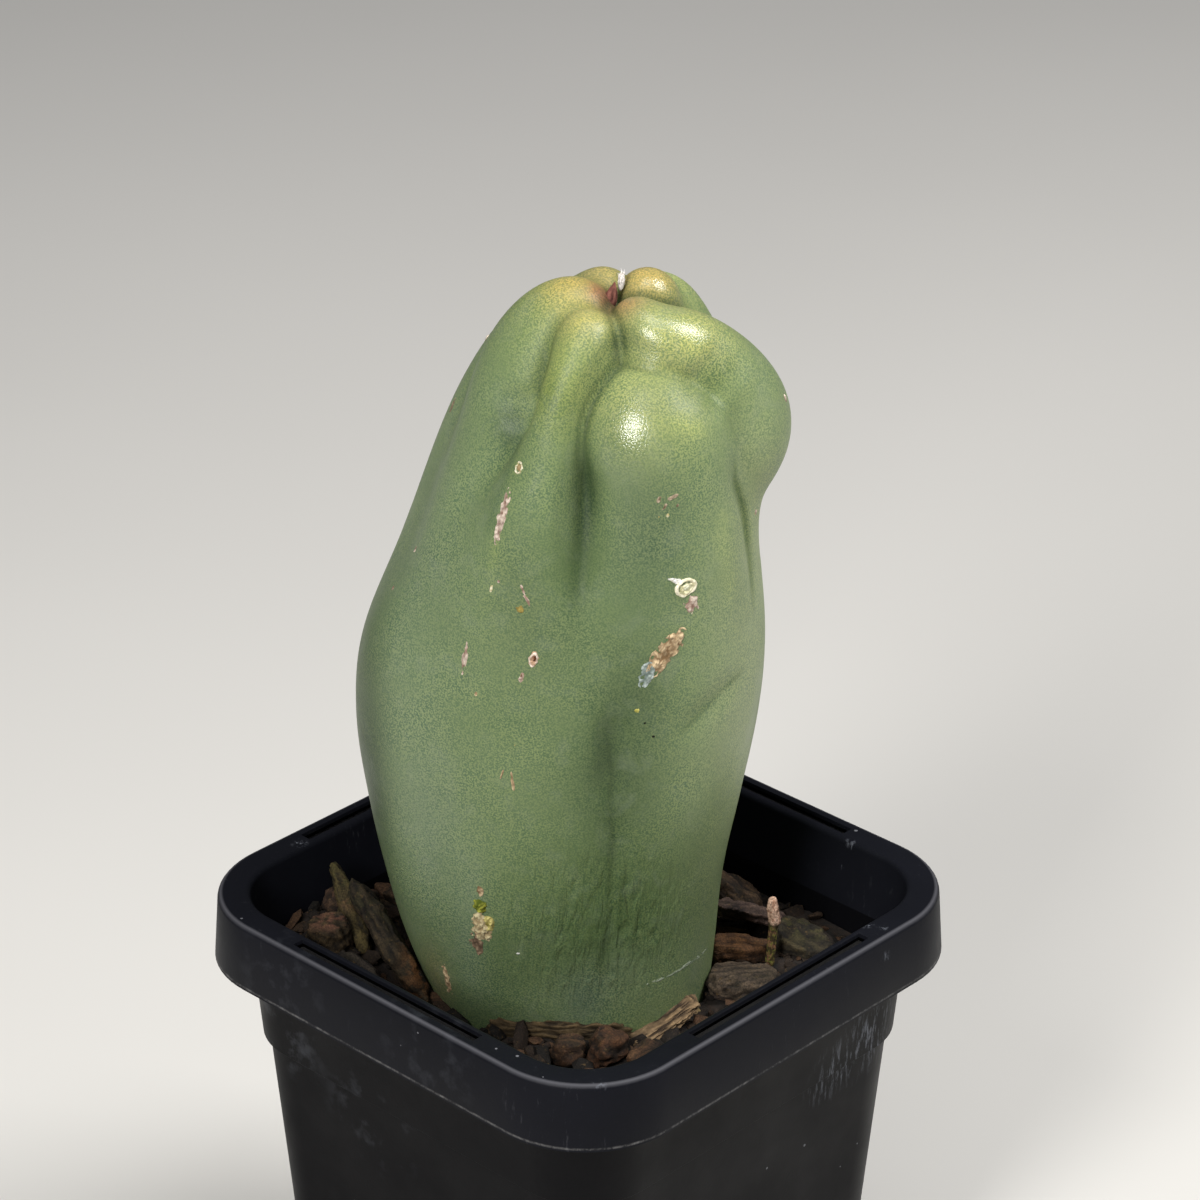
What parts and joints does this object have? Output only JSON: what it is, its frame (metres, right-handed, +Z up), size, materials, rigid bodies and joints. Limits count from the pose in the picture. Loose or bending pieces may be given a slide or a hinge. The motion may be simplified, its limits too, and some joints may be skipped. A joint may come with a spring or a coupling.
{
  "type": "potted senita cactus",
  "caption": "Smooth, lumpy monstrose senita cactus stem standing in bark mix in a square black plastic nursery pot.",
  "frame": {"origin": "middle of the flat underside of the pot", "axes": "+Z up along the plant, +X and +Y square to the pot's sides; the stem's best side faces between +X and -Y"},
  "size_m": [0.0912, 0.0912, 0.1988],
  "materials": {
    "pot_plastic": "moulded black polypropylene, satin, scuffed",
    "potting_mix": "damp composted bark and peat",
    "cactus_skin": "waxy glaucous green cactus skin with fine stippling",
    "bark": "rough conifer bark",
    "twig": "dry dead shoot",
    "areole_wool": "white plant wool"
  },
  "bodies": {
    "root": {"pot": "pot_plastic", "potting_mix": "potting_mix", "cactus_stem": "cactus_skin", "bark_chip_01": "bark", "bark_chip_02": "bark", "bark_chip_03": "bark", "bark_chip_04": "bark", "bark_chip_05": "bark", "bark_chip_06": "bark", "bark_chip_07": "bark", "bark_chip_08": "bark", "bark_chip_09": "bark", "bark_chip_10": "bark", "bark_chip_11": "bark", "bark_chip_12": "bark", "bark_chip_13": "bark", "bark_chip_14": "bark", "bark_chip_15": "bark", "bark_chip_16": "bark", "bark_chip_17": "bark", "bark_chip_18": "bark", "bark_chip_19": "bark", "bark_chip_20": "bark", "bark_chip_21": "bark", "bark_chip_22": "bark", "twig": "twig", "tip_wool": "areole_wool"}
  },
  "joints": []
}
